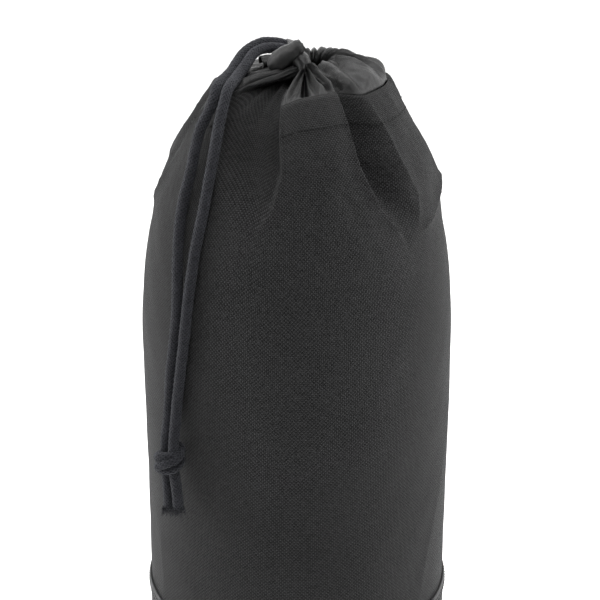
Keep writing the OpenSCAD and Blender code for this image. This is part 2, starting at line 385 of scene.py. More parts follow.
def grid_piece(name, points, material, closed=True, uv=None):
    """A sheet from rows of points. closed joins the last column to the first. uv gives (u, v) per row and column,
    one column more than points where the sheet is closed."""
    rows, cols = points.shape[:2]
    wide = cols if closed else cols - 1
    i, j = np.meshgrid(np.arange(rows - 1), np.arange(wide), indexing="ij")
    nxt = (j + 1) % cols
    faces = np.stack([i * cols + j, i * cols + nxt, (i + 1) * cols + nxt, (i + 1) * cols + j], -1)
    mesh = new_mesh(name, points.reshape(-1, 3), faces.reshape(-1, 4).tolist())
    if uv is None:
        uv = cloth_map(points, closed)
    corner = np.stack([np.stack([i, j], -1), np.stack([i, j + 1], -1),
                       np.stack([i + 1, j + 1], -1), np.stack([i + 1, j], -1)], 2).reshape(-1, 2)
    layer = mesh.uv_layers.new(name="cloth")
    layer.data.foreach_set("uv", uv[corner[:, 0], corner[:, 1]].ravel())
    mesh.update()
    return link(name, mesh, material)


def cloth_map(points, closed):
    """Millimetres along the sheet's two directions."""
    ring = np.concatenate([points, points[:, :1]], 1) if closed else points
    across = np.linalg.norm(np.diff(ring, axis=1), axis=2).mean(0)
    along = np.linalg.norm(np.diff(ring, axis=0), axis=2).mean(1)
    return thread_map(sum_up(across), sum_up(along))


def thicken(piece, thickness, offset=-1.0):
    """Gives a sheet its thickness, in millimetres, and applies it."""
    solid = piece.modifiers.new("thickness", "SOLIDIFY")
    solid.thickness = thickness * MM
    solid.offset = offset
    solid.use_even_offset = False
    apply_modifiers(piece)
    return piece


def apply_modifiers(piece):
    bpy.context.view_layer.update()
    graph = bpy.context.evaluated_depsgraph_get()
    mesh = bpy.data.meshes.new_from_object(piece.evaluated_get(graph), depsgraph=graph)
    piece.modifiers.clear()
    piece.data = mesh


def smooth_noise(x, y, scale, seed, octaves=3):
    """Smooth noise from a few random waves, about -1 to 1."""
    waves = np.random.default_rng(seed)
    total = np.zeros(np.broadcast(x, y).shape)
    size = 0.0
    for octave in range(octaves):
        for _ in range(6):
            angle = waves.uniform(0, 2 * math.pi)
            k = 2 * math.pi / (scale * waves.uniform(0.7, 1.4)) * 1.9 ** octave
            total = total + 0.62 ** octave * np.sin(k * (math.cos(angle) * x + math.sin(angle) * y)
                                                   + waves.uniform(0, 2 * math.pi))
        size += 6 * 0.62 ** octave / 2.2
    return total / size


def circle(count):
    """Angles of points set evenly round a circle."""
    return np.linspace(0, 2 * math.pi, count, endpoint=False)


def smoothstep(x, low, high):
    t = np.clip((x - low) / (high - low), 0, 1)
    return t * t * (3 - 2 * t)


def smooth_path(points, step):
    """A smooth line through the points, with a point every step millimetres."""
    p = np.array(points, float)
    p = np.vstack([2 * p[0] - p[1], p, 2 * p[-1] - p[-2]])
    fine = []
    for a, b, c, d in zip(p[:-3], p[1:-2], p[2:-1], p[3:]):
        for t in np.linspace(0, 1, 24, endpoint=False):
            fine.append(0.5 * (2 * b + (c - a) * t + (2 * a - 5 * b + 4 * c - d) * t ** 2
                               + (3 * b - a - 3 * c + d) * t ** 3))
    fine = np.array(fine + [p[-2]])
    for _ in range(30):
        fine[1:-1] = 0.5 * fine[1:-1] + 0.25 * (fine[:-2] + fine[2:])
    run = run_along(fine)
    count = max(4, int(round(run[-1] / step)))
    at = np.linspace(0, run[-1], count + 1)
    return np.stack([np.interp(at, run, fine[:, k]) for k in range(3)], 1)


def frames_along(path):
    """Two cross directions at each point, carried along without twist."""
    tangent = unit(np.gradient(path, axis=0))
    side = np.cross(tangent[0], [0.3, 0.5, 0.8])
    sides = []
    for t in tangent:
        side = side - (side @ t) * t
        side = side / np.linalg.norm(side)
        sides.append(side)
    return np.array(sides), np.cross(tangent, sides)


CORD_SIDES = 20
BRAID_STRANDS = 8
BRAID_TURN = 15.0
BRAID_RELIEF = 0.32


def cord_tube(name, path, radius, seed):
    """A braided cord along a path: strands wind both ways round it and stand a little proud. It is capped."""
    side, other = frames_along(path)
    run = run_along(path)
    angle = circle(CORD_SIDES)
    radius = np.broadcast_to(np.asarray(radius, float), run.shape)
    turn = 2 * math.pi * run[:, None] / BRAID_TURN
    weave = np.maximum(*(np.cos(BRAID_STRANDS / 2 * (angle[None, :] + way * turn)) for way in (1, -1)))
    lumps = smooth_noise(run[:, None], angle[None, :] * 4, 14.0, seed)
    r = radius[:, None] + BRAID_RELIEF * (weave - 0.7) * (radius / CORD_R)[:, None] + 0.12 * lumps
    ring = path[:, None] + r[..., None] * (np.cos(angle)[None, :, None] * side[:, None]
                                           + np.sin(angle)[None, :, None] * other[:, None])
    girth = np.linspace(0, 2 * math.pi * CORD_R, CORD_SIDES + 1)
    piece = grid_piece(name, ring, BRAID, uv=thread_map(girth, run))
    cap_ends(piece.data, CORD_SIDES, len(path))
    return piece


def cap_ends(mesh, sides, rings):
    """Closes both ends of a tube of rings."""
    work = bmesh.new()
    work.from_mesh(mesh)
    work.verts.ensure_lookup_table()
    for start in (0, (rings - 1) * sides):
        loop = [work.verts[start + k] for k in range(sides)]
        work.faces.new(loop if start else loop[::-1])
    bmesh.ops.recalc_face_normals(work, faces=work.faces)
    work.to_mesh(mesh)
    work.free()
    smooth_faces(mesh)


# ---- the shape of the body's cloth
# Azimuths are in degrees: 0 is the front, +90 the right side, and 180 the back.


def skin_radius(z):
    rise = np.clip((z - SHOULDER_Z) / SHOULDER_H, 0, 0.999)
    return BODY_R * np.sqrt(1 - rise ** 2)


def apart(a, b):
    return (a - b + 180) % 360 - 180


# Valleys between the gathered lobes: (height, left edge, right edge) from the lower tip up to the hem,
# depth, softness of the left and of the right edge
VALLEYS = [
    ([(396, -17, -16), (408, -22, -10.5), (430, -33, -7.5), (450, -36, -9.5), (474, -38, -11)],
     16.5, 11.0, 1.8),
    ([(384, 44, 46), (396, 40, 49), (406, 35.5, 48), (432, 29, 40), (474, 26.5, 33.5)], 18.0, 1.6, 10.0),
    ([(392, 92, 97), (430, 84, 100), (474, 82, 96)], 13.0, 6.0, 7.0),
    ([(378, 124, 127), (425, 118, 134), (474, 122, 138)], 15.0, 5.0, 8.0),
    ([(400, 160, 164), (435, 156, 172), (474, 160, 174)], 12.0, 8.0, 5.0),
    ([(384, -158, -154), (430, -164, -148), (474, -160, -146)], 15.0, 4.0, 9.0),
    ([(398, -122, -117), (432, -126, -110), (474, -122, -110)], 13.0, 8.0, 6.0),
    ([(404, -84, -80), (432, -90, -74), (474, -88, -74)], 11.0, 7.0, 6.0),
]

# Sharp folds that stand up along a line: (azimuth, height) points, height, width
CREASES = [
    ([(-97, 466), (-96, 446), (-99, 424), (-106, 400), (-112, 372)], 2.4, 4.0),
    ([(-62, 462), (-69, 450), (-72, 434), (-79, 407), (-91, 388)], 2.6, 3.4),
    ([(94, 424), (80, 404), (66, 394), (50, 385)], 3.0, 4.5),
    ([(44, 470), (50, 432), (56, 409), (52, 388)], 1.6, 3.0),
    ([(-11, 470), (-7, 430), (-10, 412), (-16, 399)], 1.2, 2.2),
    ([(26, 470), (27, 436), (36, 402), (44, 385)], 1.4, 2.4),
    ([(84, 276), (70, 220), (56, 160), (50, 118)], 0.9, 7.0),
    ([(-62, 176), (-60, 140), (-61, 96)], 0.8, 7.0),
    ([(142, 450), (146, 410), (158, 368)], 2.2, 4.0),
    ([(-136, 452), (-134, 412), (-124, 376)], 2.4, 4.0),
    ([(178, 454), (176, 420), (182, 380)], 1.8, 4.0),
    ([(106, 440), (110, 404), (116, 366)], 1.8, 4.0),
]

# Broad swellings (above 0) and flats (below 0): azimuth, height, reach in degrees and millimetres, size
SWELLS = [
    (92, 426, 26, 24, 6.5), (-92, 456, 26, 26, -6.5), (8, 440, 22, 30, 2.5), (-48, 388, 26, 22, 1.0),
    (62, 440, 16, 26, 3.0), (92, 474, 34, 18, 5.0), (150, 430, 24, 28, 3.0), (-140, 424, 24, 28, 3.0),
]


def crease_lift(azimuth, z, line, height, width):
    """How far a crease lifts the cloth at each point."""
    best = np.full(np.broadcast(azimuth, z).shape, 1e9)
    run = np.zeros(best.shape)
    degree = BODY_R * math.pi / 180
    for k, (p, q) in enumerate(zip(line[:-1], line[1:])):
        turn = apart(azimuth, p[0]) * degree
        span = np.array([apart(q[0], p[0]) * degree, q[1] - p[1]])
        t = np.clip((turn * span[0] + (z - p[1]) * span[1]) / (span @ span), 0, 1)
        gap = np.hypot(turn - t * span[0], z - p[1] - t * span[1])
        nearer = gap < best
        best = np.where(nearer, gap, best)
        run = np.where(nearer, (k + t) / (len(line) - 1), run)
    ends = np.clip(np.minimum(run, 1 - run) * 5 + 0.12, 0, 1)
    return height * ends * np.exp(-best / width)


# Height of the hem's edge by azimuth: it dips and rises from lobe to lobe
HEM_LINE = [(-180, 470), (-150, 471.5), (-120, 469.5), (-85, 470.5), (-60, 468), (-49, 466.5), (-40, 471),
            (-26, 475), (-17, 473), (-12.5, 466), (-9, 465.5), (0, 469.6), (10, 471.2), (24, 472.6),
            (27, 471.5), (30, 469.8), (43, 469.2), (60, 471.2), (78, 473.4), (99, 473.8), (125, 470),
            (150, 471.5), (180, 470)]


def hem_height(azimuth):
    near = [np.interp(apart(azimuth + shift, 0.0), *zip(*HEM_LINE)) for shift in (-2.4, -1.2, 0, 1.2, 2.4)]
    return np.mean(near, axis=0)


def drawn_in(azimuth, z):
    """How far the cloth left of the front pleat is drawn in towards the crown, from 0 to 1."""
    turn = apart(azimuth, 0.0)
    share = smoothstep(turn, -52, -38) * (1 - smoothstep(turn, -15.5, -11.0))
    return share * np.clip((z - 446) / 26, 0, 1.2) ** 2


def valley_share(azimuth, z, table, soft_left, soft_right):
    """1 inside a valley, 0 outside it, with soft edges."""
    zs, left, right = (np.array(column, float) for column in zip(*table))
    left_at, right_at = np.interp(z, zs, left), np.interp(z, zs, right)
    fade = smoothstep(z, zs[0] - 8, zs[0] + 46)
    middle = (left_at + right_at) / 2
    gone = apart(azimuth, middle) + middle
    narrow = 0.35 + 0.65 * fade
    enter = smoothstep(gone, left_at - soft_left * narrow, left_at + soft_left * narrow)
    leave = 1 - smoothstep(gone, right_at - soft_right * narrow, right_at + soft_right * narrow)
    return fade * enter * leave


def body_radius(azimuth, z):
    """Radius of the cloth's outer side."""
    r = skin_radius(np.minimum(z, 474.0))
    upper = smoothstep(z, 330, 420)
    for table, depth, soft_left, soft_right in VALLEYS:
        r = r - depth * valley_share(azimuth, z, table, soft_left, soft_right)
    for line, height, width in CREASES:
        r = r + crease_lift(azimuth, z, line, height, width)
    for centre, height, reach, rise, size in SWELLS:
        r = r + size * np.exp(-(apart(azimuth, centre) / reach) ** 2 - ((z - height) / rise) ** 2)
    folds = np.sin(np.radians(apart(azimuth, 0.0) * 30 + 40))
    r = r - drawn_in(azimuth, z) * (21.0 - 3.0 * folds)
    s = np.radians(azimuth)
    loose = (0.5 + 1.0 * upper) * smoothstep(z, 110, 160)
    ripple = smooth_noise(np.sin(s) * BODY_R, z * 0.7 + np.cos(s) * BODY_R, 75.0, 3)
    fine = smooth_noise(np.cos(s) * BODY_R * 1.3, z + np.sin(s) * BODY_R, 24.0, 5)
    r = r + loose * (0.75 * ripple + 0.22 * fine * upper)
    hold = smoothstep(z, 96, 126)
    return np.where(z < 126, hold * r + (1 - hold) * (BODY_R - 0.3), r)


def on_body(azimuth, z, lift=0.0):
    """Points on the cloth at azimuths and heights, lifted off it."""
    return round_axis(azimuth, body_radius(azimuth, z) + lift, z)


WALL_T = 1.2
COLS = 640
azimuths = np.linspace(0, 360, COLS, endpoint=False)


def make_body():
    """The body's cloth, from the base to the hem's edge; its hem is doubled and stands a little proud."""
    low = np.linspace(PIPING_HIGH[2] + 0.3, 296, 46)
    rise = np.linspace(0, 1, 104)
    top = hem_height(azimuths)
    z = np.vstack([np.repeat(low[:, None], COLS, 1), 299 + rise[:, None] * (top[None, :] - 299)])
    hem = smoothstep(z, top[None, :] - HEM_DEPTH - 0.6, top[None, :] - HEM_DEPTH + 0.6)
    edge = smoothstep(z, top[None, :] - 1.2, top[None, :])
    points = on_body(azimuths[None, :], z, 0.55 * hem - 0.7 * edge)
    around = 2 * math.pi * BODY_R
    threads = 2 * THREAD * round(around / (2 * THREAD))
    run = sum_up(np.linalg.norm(np.diff(points, axis=0), axis=2).mean(1))
    uv = thread_map(np.linspace(0, threads, COLS + 1), run)
    piece = thicken(grid_piece("body_cloth", points, BALLISTIC, uv=uv), WALL_T)
    settle(piece, "body", "shoulder", "gathers", "hem_facing")


# ---- stitches and tapes


# Length of a stitch, the gap to the next one and the thread's thickness
HEM_STITCH = (2.9, 0.9, 0.62)
BOOT_STITCH = (2.7, 0.8, 0.6)
SEAM_STITCH = (2.7, 0.9, 0.6)
TAB_STITCH = (2.5, 0.7, 0.7)


def stitch_row(name, points, normals, stitch, *nodes):
    """A row of lockstitches along a line. Each stitch is a small arched strand that dips at both ends."""
    length, gap, thickness = stitch
    run = run_along(points)
    sides, rings = 5, 5
    bow = np.sin(np.linspace(0, math.pi, rings))
    verts, faces = [], []
    for start in np.arange(0.3, run[-1] - length, length + gap):
        at = start + np.linspace(0, 1, rings) * length
        line, up = (np.stack([np.interp(at, run, rows[:, k]) for k in range(3)], 1)
                    for rows in (points, normals))
        up = unit(up)
        line = line + up * (thickness * (0.75 * bow - 0.35))[:, None]
        side = np.cross(unit(np.gradient(line, axis=0)), up)
        base = len(verts)
        for k in range(rings):
            fat = thickness / 2 * (0.65 + 0.35 * bow[k])
            for a in 2 * math.pi * np.arange(sides) / sides:
                verts.append(line[k] + fat * (math.cos(a) * side[k] + math.sin(a) * up[k]))
        faces += tube_faces(base, rings, sides)
        faces.append([base + m for m in range(sides)][::-1])
        faces.append([base + (rings - 1) * sides + m for m in range(sides)])
    settle(link(name, new_mesh(name, verts, faces), THREAD_BLACK), *nodes)


def tube_faces(base, rings, sides):
    """The side faces of a tube whose rings of points start at number base."""
    return [[base + k * sides + m, base + k * sides + (m + 1) % sides,
             base + (k + 1) * sides + (m + 1) % sides, base + (k + 1) * sides + m]
            for k in range(rings - 1) for m in range(sides)]


def outward(azimuth):
    return round_axis(azimuth, 1.0, 0.0)


def make_hem_stitches():
    turn = np.linspace(0, 360, 1200)
    line = on_body(turn, hem_height(turn) - HEM_DEPTH + 1.6, 0.75)
    stitch_row("hem_stitches", line, outward(turn), HEM_STITCH, "hem_stitching")


def band(name, node, z0, z1, radius, material, wobble, thickness, rows, bulge=0.0):
    """A band of cloth round the bag between two heights."""
    turn = np.linspace(0, 360, 360, endpoint=False)[None, :]
    z = np.linspace(z0, z1, rows)[:, None] + 0 * turn
    s = np.radians(turn)
    r = radius + bulge * np.sin(math.pi * (z - z0) / (z1 - z0)) ** 0.5
    r = r + wobble * smooth_noise(np.sin(s) * BODY_R, z + np.cos(s) * BODY_R, 40.0, 17)
    return settle(thicken(grid_piece(name, round_axis(turn, r, z), material), thickness), node)


BOUND_BULGE = 0.55


def make_boot():
    """The reinforcing sleeve, the tape bound over its top edge, and the two rows of stitches in the tape."""
    outer = BOOT_HIGH[0]
    low, high = BINDING_LOW[2], BINDING_HIGH[2]
    boot = band("boot_cloth", "boot", BOOT_LOW[2] + 0.2, low + 1.5, outer - 0.1, BOOT_WEAVE,
                0.25, 0.9, 40)
    band("boot_tape", "boot_binding", low, high, outer + 0.15, TAPE,
         0.15, 1.3, 12, BOUND_BULGE)
    turn = np.linspace(0, 360, 1500)
    for name, z, nodes in (("boot_stitches_upper", high - 3.4, ["boot_stitching"]),
                           ("boot_stitches_lower", high - 6.6, [])):
        r = outer + 0.15 + BOUND_BULGE * math.sqrt(math.sin(math.pi * (z - low) / 8)) + 0.05
        stitch_row(name, round_axis(turn, r, z), outward(turn), BOOT_STITCH, *nodes)


PIPING_D = 5.2
PIPING_Z = 2.6


def make_piping():
    """The rolled edge round the base: a cord covered in tape."""
    turn = np.linspace(0, 360, 360, endpoint=False)[:, None]
    ring = circle(14)[None, :]
    fat = 2.5 + 0.12 * smooth_noise(np.radians(turn) * 100, ring, 16.0, 23)
    z = np.maximum(PIPING_Z + fat * np.sin(ring), 0.02)
    points = round_axis(turn, PIPING_HIGH[0] - PIPING_D / 2 + fat * np.cos(ring), z)
    points = np.concatenate([points, points[:1]], 0)
    settle(grid_piece("piping", points, TAPE), "base_piping")


def make_base():
    """The flat layers of the base: the outer panel, and the lining laid over the stiffening board."""
    for name, node, material, slot, seed in (("base_panel_cloth", "base_panel", BASE_CLOTH, "coated_base", 31),
                                             ("base_lining_cloth", "base_lining", LINING, "inner_lining", 37)):
        low, high = box_mm(node)
        rings = np.linspace(0.004, 1, 26)[:, None] * high[0]
        s = circle(120)[None, :]
        x, y = rings * np.sin(s), -rings * np.cos(s)
        dip = 0.12 * smooth_noise(x, y, 50.0, seed) * (rings / high[0] < 0.97)
        points = np.stack([x, y, high[2] - 0.15 + np.minimum(dip, 0.05)], -1)
        piece = grid_piece(name, points[::-1], material)
        cloth_from_above(piece)
        settle(thicken(piece, min(1.3, high[2] - low[2] - 0.1)), node)


def cloth_from_above(piece):
    """Gives a flat piece a cloth map of its own X and Y, in millimetres, and turns its faces up."""
    mesh = piece.data
    layer = mesh.uv_layers["cloth"]
    for loop in mesh.loops:
        at = mesh.vertices[loop.vertex_index].co
        layer.data[loop.index].uv = (at.x / MM, at.y / MM)
    if mesh.polygons[len(mesh.polygons) // 2].normal.z < 0:
        mesh.flip_normals()


def ribbon(name, node, centre, width, thickness, material, body="bag", crown=0.2):
    """A strip of webbing along a line: its face follows the line and its width lies along X."""
    centre = np.array(centre, float)
    across = np.array([1.0, 0, 0])
    tangent = unit(np.gradient(centre, axis=0))
    up = unit(np.cross(tangent, across))
    share = np.linspace(-1, 1, 17)
    arch = crown * (1 - share ** 4)
    points = centre[:, None] + across * (share * width / 2)[None, :, None] + up[:, None] * arch[None, :, None]
    run = run_along(centre)
    uv = thread_map((share + 1) * width / 2, run)
    piece = thicken(grid_piece(name, points, material, closed=False, uv=uv), thickness, offset=0.0)
    bevel_edges(piece)
    settle(piece, node, body=body)


def bevel_edges(piece):
    """Rounds a ribbon's sharp edges a little, and applies it."""
    bevel = piece.modifiers.new("edge", "BEVEL")
    bevel.width = 0.35 * MM
    bevel.segments = 2
    bevel.limit_method = "ANGLE"
    bevel.angle_limit = math.radians(50)
    apply_modifiers(piece)
    smooth_faces(piece.data)


WEBBING_W = 25.0
# The line that each webbing loop turns about, and how far in degrees the loop hangs from straight down
HAUL_HINGE, HAUL_TILT = (0, 101.1, 372), 17.5
TIE_IN_HINGE, TIE_IN_TILT = (0, 14, 9.9), -99.0


def make_back():
    """The tape over the back seam, its two rows of stitches, and the haul loop under its tab."""
    low, high = box_mm("back_seam")
    z = np.linspace(low[2], high[2], 150)
    ribbon("seam_tape", "back_seam", on_body(180.0, z, 0.55), 12.0, 0.8, TAPE)
    z = np.linspace(low[2] + 4, high[2] - 2, 400)
    for name, x, nodes in (("seam_stitches_left", 4.0, ["seam_stitching"]),
                           ("seam_stitches_right", -4.0, [])):
        turn = 180 - math.degrees(x / BODY_R)
        stitch_row(name, on_body(turn, z, 1.05), outward(np.full(400, turn)), SEAM_STITCH, *nodes)
    low, high = box_mm("haul_tab")
    z = np.linspace(low[2], high[2] - 0.5, 30)
    ribbon("haul_tab_webbing", "haul_tab", on_body(180.0, z, 2.45), WEBBING_W, 1.6, WEBBING)
    turn = 180 - np.degrees(np.linspace(-10.5, 10.5, 60) / BODY_R)
    for name, z, nodes in (("haul_stitches_0", low[2] + 3, ["haul_stitching"]),
                           ("haul_stitches_1", high[2] - 4, [])):
        line = on_body(turn, np.full(60, z), 3.35)
        line[:, 1] = on_body(180.0, z, 3.35)[1]
        stitch_row(name, line, outward(np.full(60, 180.0)), TAB_STITCH, *nodes)
    webbing_loop("haul_loop_webbing", "haul_loop", HAUL_HINGE, HAUL_TILT, "haul")


def webbing_loop(name, node, hinge, tilt, body):
    """A folded loop of webbing that hangs from a neck: two legs side by side that part into a round belly."""
    length, belly, neck, top = 42.0, 7.1, 1.0, -0.4
    turn = np.radians(np.linspace(-60, 240, 44))
    arc = np.stack([belly * np.cos(turn), -length - belly * np.sin(turn)], 1)
    t = np.linspace(0, 1, 14)[:-1]
    ease = t * t * (3 - 2 * t)
    first, last = (np.stack([side * neck + (end[0] - side * neck) * ease, top + (end[1] - top) * t], 1)
                   for side, end in ((1, arc[0]), (-1, arc[-1])))
    y, z = np.concatenate([first, arc, last[::-1]]).T
    c, s = math.cos(math.radians(tilt)), math.sin(math.radians(tilt))
    line = np.stack([hinge[0] + 0 * y, hinge[1] + y * c - z * s, hinge[2] + y * s + z * c], 1)
    ribbon(name, node, line, WEBBING_W, 1.7, WEBBING, body)


def make_tie_in():
    """The patch sewn to the floor of the bag, and the loop that the rope's lower end is tied to."""
    low, high = box_mm("tie_in_anchor")
    y = np.linspace(low[1], high[1], 30)
    line = np.stack([0 * y, y, np.full_like(y, (low[2] + high[2]) / 2)], 1)
    ribbon("tie_in_patch", "tie_in_anchor", line, high[0] - low[0], 1.3, WEBBING, crown=0.1)
    webbing_loop("tie_in_webbing", "tie_in_loop", TIE_IN_HINGE, TIE_IN_TILT, "tie_in")


# ---- collar and crown

CROWN_AT = np.array([11.0, 5.0])
CROWN_R = np.array([15.5, 9.0])
CROWN_TUBE = 6.4
APEX = np.array([5.0, -19.0, 480.0])

# Pleats of the collar: azimuth at the hem, azimuth at the crown, half-width in degrees, height
PLEATS = [
    (5.5, 2, 3.6, -7.5), (-9, -10, 3.6, 5.5), (-14, -18, 3.0, -3.0), (-58, -66, 4.4, 4.0),
    (-65, -76, 4.0, -4.0), (-73, -86, 4.6, 4.0), (-82, -94, 4.0, -3.5), (-98, -108, 6.0, 2.5),
    (13, 9, 2.0, -1.5), (17, 15, 3.2, 4.5), (21.5, 22, 2.2, -3.5), (26.5, 31, 3.8, 7.0), (32, 41, 3.4, -5.0),
    (38.5, 50, 4.2, 4.5), (46, 61, 4.0, -3.0), (56, 72, 6.5, 3.0), (68, 84, 6.0, -2.6), (82, 94, 8.0, 3.2),
    (97, 100, 5.5, -3.4), (-47, -52, 3.6, 3.0), (-52, -59, 3.0, -3.5), (-90, -100, 3.4, -2.5),
    (112, 106, 7.0, -4.5), (128, 122, 8.0, 3.0), (143, 138, 6.0, -4.0), (160, 152, 8.0, 3.0),
    (176, 170, 6.0, -4.5), (-172, -176, 7.0, 3.0), (-156, -160, 6.0, -4.5), (-141, -146, 7.0, 3.0),
    (-126, -128, 6.0, -3.5), (-112, -118, 6.0, 2.5),
]
# How high the collar billows between hem and crown, by azimuth
PUFF = [(-180, 5), (-150, 4), (-110, 3), (-70, 1.5), (-40, 0.5), (-15, -0.5), (15, -0.5), (30, 1.0),
        (45, 3.5), (65, 5.5), (90, 7.0), (115, 7.0), (150, 6.0), (180, 5)]


def gathers(azimuth):
    """Fine sharp gathers round the crown, about -1 to 1."""
    s = np.radians(azimuth)
    warped = s * 8 + 1.3 * np.sin(2 * s + 1) + 0.8 * np.sin(5 * s + 2)
    size = 0.8 + 0.35 * np.sin(3 * s + 0.5) * np.sin(7 * s)
    return size * (2 * np.abs(np.sin(warped)) ** 0.75 - 1)


def crown_line(azimuth, grow=0.0):
    """The middle of the crown's ring."""
    s = np.radians(azimuth)
    x = CROWN_AT[0] + (CROWN_R[0] + grow) * np.sin(s)
    y = CROWN_AT[1] - (CROWN_R[1] + grow) * np.cos(s)
    z = 478.5 + 0.8 * np.sin(s) - 4.0 * np.cos(s) + 0.8 * np.sin(3 * s + 1)
    return np.stack(np.broadcast_arrays(x, y, z), -1)


def gathered_edge(azimuth):
    """Where the collar ends: drawn into a point at the front left, and under the ring behind."""
    azimuth = apart(azimuth, 0.0)
    over = smoothstep(azimuth, 25, 55) * (1 - smoothstep(azimuth, 95, 130))
    ring = crown_line(azimuth, CROWN_TUBE * (0.55 - 0.75 * over))
    ring[..., 2] += 11.0 * over - 4.0
    s = np.radians(azimuth)
    point = APEX + np.stack([3.2 * np.sin(s), -2.2 * np.cos(s), 0.6 * np.sin(5 * s)], -1)
    pinch = (smoothstep(azimuth, -150, -80) * (1 - smoothstep(azimuth, 28, 68)))[..., None]
    return pinch * point + (1 - pinch) * ring


COLLAR_T = 0.5
SLICK_T = 0.6
# Flat cuts, in metres: the parts of the slick cloth that the modelled folds take up
FLAP_CUT = (0.042, 0.027)
NECK_CUT = (0.040, 0.019)
TAIL_CUT = (0.024, 0.018)


def make_collar():
    cols = 560
    turn = np.linspace(-180, 180, cols, endpoint=False)[None, :]
    t = np.linspace(-0.34, 1, 60)[:, None]
    hem = hem_height(turn)
    edge = on_body(turn[0], hem[0], -2.0)[None]
    inner = gathered_edge(turn[0])[None]
    u = np.clip(t, 0, 1)[..., None]
    flat = edge + (inner - edge) * u
    puff = np.interp(turn, *zip(*PUFF))
    lift = puff * np.sin(math.pi * np.clip(t, 0, 1) ** 0.62)
    press = smoothstep(t, 0.0, 0.16)
    for outer, middle, half, height in PLEATS:
        at = outer + (middle - outer) * np.clip(t, 0, 1)
        gap = np.abs(apart(turn, at)) / half
        lift = lift + height * press * (0.75 + 0.25 * t) * np.clip(1 - gap ** 1.7, 0, None) \
            * (1 - 0.35 * smoothstep(t, 0.8, 1.0))
    near = smoothstep(t, 0.55, 1.0)
    lift = lift + 1.1 * near * gathers(turn)
    wrinkle = smooth_noise(flat[..., 0], flat[..., 1], 22.0, 41, 3)
    pulls = smooth_noise(turn * 1.1, t * 9, 11.0, 43, 3)
    lift = lift + press * (0.35 * wrinkle + 0.8 * pulls * (1 - 0.5 * near))
    out = outward(turn)[..., :2]
    billow = puff * 0.35 * np.sin(math.pi * np.clip(t * 2.2 + 0.12, 0, 1))
    points = flat.copy()
    points[..., 2] += lift + np.minimum(t, 0) * 40
    points[..., :2] += out * (billow * (t > 0))[..., None]
    tuck = smoothstep(t, -0.34, 0.0)
    points[..., :2] -= out * ((1 - tuck) * 2.5)[..., None]
    piece = thicken(grid_piece("collar_cloth", points, SLICK), COLLAR_T)
    settle(piece, "collar")


def make_crown():
    """The gathered tunnel of the cord: a ring of slick cloth bunched into sharp ribs."""
    cols, ring = 720, 40
    turn = np.linspace(-180, 180, cols, endpoint=False)[:, None]
    a = circle(ring)[None, :]
    centre = crown_line(turn[:, 0])
    rib = gathers(turn + 6 * np.sin(a))
    fine = smooth_noise(turn * 0.7, a * 6, 9.0, 51)
    upper = 0.6 + 0.4 * np.sin(a)
    fat = CROWN_TUBE + 1.5 * rib * upper + 0.35 * fine
    points = centre[:, None] + fat[..., None] * (np.cos(a)[..., None] * outward(turn)
                                                 + np.sin(a)[..., None] * np.array([0, 0, 1.0]))
    points = np.concatenate([points, points[:1]], 0)
    piece = grid_piece("crown_cloth", points, SLICK)
    settle(piece, "drawcord_channel")


def rolled_sheet(name, path, radii, turn_from, turn_to, seed, cut, *nodes, rib=0.0, rim=0.0, inward=0.0):
    """A sheet curled round a path, open along one side, with its radii along the path and the angles where the
    curl starts and ends. rim widens its last end, or narrows it below 0; inward narrows the inner edge."""
    path = smooth_path(path, 0.6)
    share = np.linspace(0, 1, len(path))[:, None]
    side, other = frames_along(path)
    angle = np.radians(np.linspace(turn_from, turn_to, 60))[None, :]
    fat = np.interp(share, np.linspace(0, 1, len(radii)), radii)
    fat = fat * (1 - inward * (angle - angle.min()) / (angle.max() - angle.min()))
    fat = fat + rim * smoothstep(share, 0.86, 1.0)
    fold = smooth_noise(angle * 5, share * 12, 7.0, seed, 4)
    fat = fat + rib * np.sin(angle * 9 + fold * 1.5) * (1 - share) ** 0.7 + 0.35 * fold
    points = path[:, None] + fat[..., None] * (np.cos(angle)[..., None] * side[:, None]
                                               + np.sin(angle)[..., None] * other[:, None])
    piece = thicken(grid_piece(name, points, SLICK, closed=False), SLICK_T, offset=0.0)
    settle(piece, *nodes)


def make_flap():
    """The end of the slick cloth: a curled tube, the pinched neck that it grows from, and its rolled end."""
    rolled_sheet("flap_cloth",
                 [(-13.5, -13, 481.5), (-10.5, -15, 485), (-4.5, -16, 490.2), (3.2, -15, 496.2)],
                 [6.6, 7.4, 6.6, 5.2, 4.6], -178, 176, 61, FLAP_CUT, "channel_flap", rim=-1.1, inward=0.06)
    rolled_sheet("flap_neck", [(4.8, -19.5, 476.5), (3.6, -17.5, 481), (1.4, -14.5, 485), (-1.5, -12.5, 488)],
                 [3.6, 5.0, 6.4, 6.2], 0, 352, 63, NECK_CUT, rib=0.8)
    rolled_sheet("flap_tail", [(-8, 3, 482.5), (-13, 2.5, 483.2), (-18, 1, 483), (-23, -1, 482.4)],
                 [3.0, 3.6, 3.8, 3.7], 20, 350, 65, TAIL_CUT, rim=0.3)


# Where the channel's mouth opens, and its heading, rise and roll in degrees
MOUTH_AT = np.array([-9.5, 15, 490.0])
MOUTH_HEADING, MOUTH_RISE, MOUTH_ROLL = (math.radians(x) for x in (188, 17, -16))


